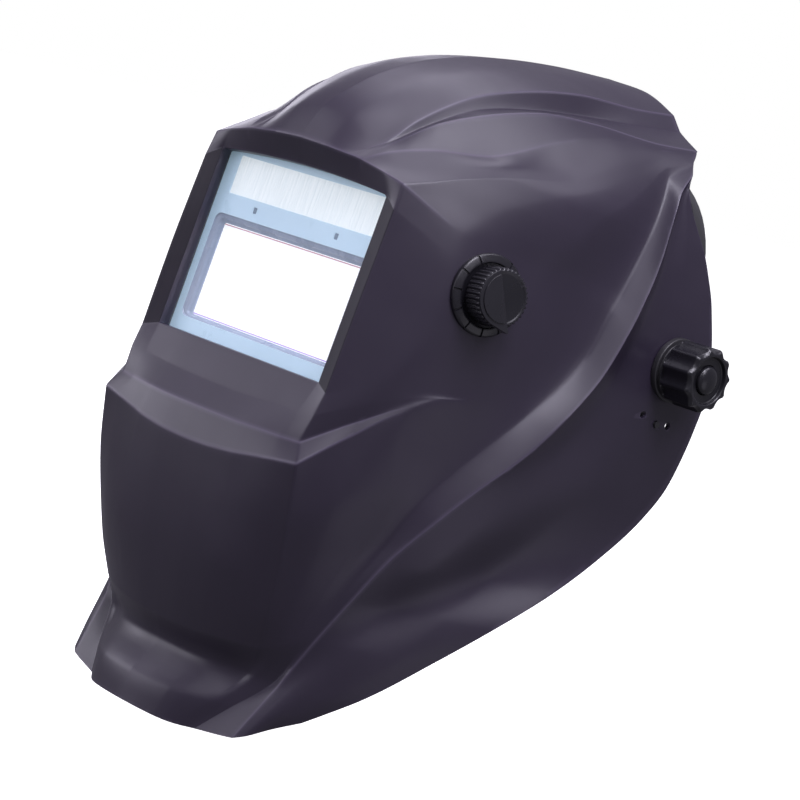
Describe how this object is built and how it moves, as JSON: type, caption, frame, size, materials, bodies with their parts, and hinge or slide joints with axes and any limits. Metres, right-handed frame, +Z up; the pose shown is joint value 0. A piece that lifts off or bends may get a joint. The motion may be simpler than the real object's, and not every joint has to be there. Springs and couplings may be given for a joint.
{
  "type": "welding helmet",
  "caption": "Auto-darkening welding helmet: a hard shell with a filter window and shade dial that flips up on an adjustable ratchet headgear.",
  "frame": {"origin": "middle of the pivot axis that joins shell and headgear, at the wearer's temples", "axes": "+X is the wearer's left, the face looks along -Y, +Z is up"},
  "size_m": [0.254, 0.288, 0.309],
  "materials": {
    "shell_plastic": "fine satin moulding",
    "black_plastic": "satin",
    "knob_plastic": "semi-gloss",
    "clear_plate": "clear polycarbonate",
    "filter_glass": "coated glass",
    "case_front": "pale blue film",
    "solar_cell": "bright, fine lines",
    "sensor": "clear resin",
    "board": "solder mask",
    "plated_steel": "plated",
    "rubber": "matt",
    "fabric_pad": "brushed cotton over foam"
  },
  "bodies": {
    "headgear": {"pivot_bolt_left": "black_plastic", "pivot_bolt_right": "black_plastic", "friction_washer_left": "rubber", "friction_washer_right": "rubber", "side_arm_left": "black_plastic", "side_arm_right": "black_plastic", "arm_rivets": "plated_steel", "front_band": "black_plastic", "rear_band_left": "black_plastic", "rear_band_right": "black_plastic", "ratchet_housing": "black_plastic", "ratchet_cover": "black_plastic", "sweatband": "fabric_pad", "rear_pad": "fabric_pad", "crown_strap_front_left": "black_plastic", "crown_strap_front_right": "black_plastic", "crown_strap_rear_left": "black_plastic", "crown_strap_rear_right": "black_plastic", "strap_pins": "black_plastic", "strap_studs": "black_plastic"},
    "visor": {"shell": "shell_plastic", "cover_plate": "clear_plate", "filter_case_front": "case_front", "filter_case_back": "black_plastic", "uv_ir_glass": "filter_glass", "lcd_panel": "filter_glass", "solar_cell": "solar_cell", "light_sensors": "sensor", "circuit_board": "board", "coin_cells": "plated_steel", "inner_cover_plate": "clear_plate", "filter_holder": "black_plastic", "holder_screws": "plated_steel", "shade_ring": "knob_plastic", "shade_pot": "plated_steel", "shade_nut": "plated_steel", "shade_cable": "rubber", "stop_plate_left": "black_plastic", "stop_plate_right": "black_plastic", "pivot_collar_left": "knob_plastic", "pivot_collar_right": "knob_plastic"},
    "latch": {"holder_latch": "black_plastic"},
    "sensitivity": {"sensitivity_dial": "black_plastic"},
    "delay": {"delay_dial": "black_plastic"},
    "shade": {"shade_shaft": "plated_steel", "shade_knob": "knob_plastic"},
    "left_knob": {"pivot_knob_left": "knob_plastic", "pivot_cap_left": "knob_plastic"},
    "right_knob": {"pivot_knob_right": "knob_plastic", "pivot_cap_right": "knob_plastic"},
    "ratchet": {"ratchet_knob": "knob_plastic", "ratchet_pinion": "black_plastic"}
  },
  "joints": [
    {"name": "flip_up", "type": "hinge", "parent": "headgear", "child": "visor", "pos_m": [0, 0, 0], "axis": [-1, 0, 0], "range_deg": [0, 75]},
    {"name": "latch_swing", "type": "hinge", "parent": "visor", "child": "latch", "pos_m": [0, -0.1461, -0.04713], "axis": [-1, 0, 0], "range_deg": [0, 70]},
    {"name": "sensitivity_turn", "type": "hinge", "parent": "visor", "child": "sensitivity", "pos_m": [0.013, -0.13199, 0.03168], "axis": [0, 0.9903, -0.1392], "range_deg": [-135, 135]},
    {"name": "delay_turn", "type": "hinge", "parent": "visor", "child": "delay", "pos_m": [-0.013, -0.13199, 0.03168], "axis": [0, 0.9903, -0.1392], "range_deg": [-135, 135]},
    {"name": "shade_turn", "type": "hinge", "parent": "visor", "child": "shade", "pos_m": [0.0862, -0.107, 0.0157], "axis": [0.9744, -0.2071, 0.0872], "range_deg": [-180, 90]},
    {"name": "left_knob_turn", "type": "hinge", "parent": "headgear", "child": "left_knob", "pos_m": [0.115, 0, 0], "axis": [1, 0, 0], "continuous": true},
    {"name": "right_knob_turn", "type": "hinge", "parent": "headgear", "child": "right_knob", "pos_m": [-0.115, 0, 0], "axis": [-1, 0, 0], "continuous": true},
    {"name": "ratchet_turn", "type": "hinge", "parent": "headgear", "child": "ratchet", "pos_m": [0, 0.08679, -0.01614], "axis": [0, 0.9135, -0.4067], "continuous": true}
  ]
}
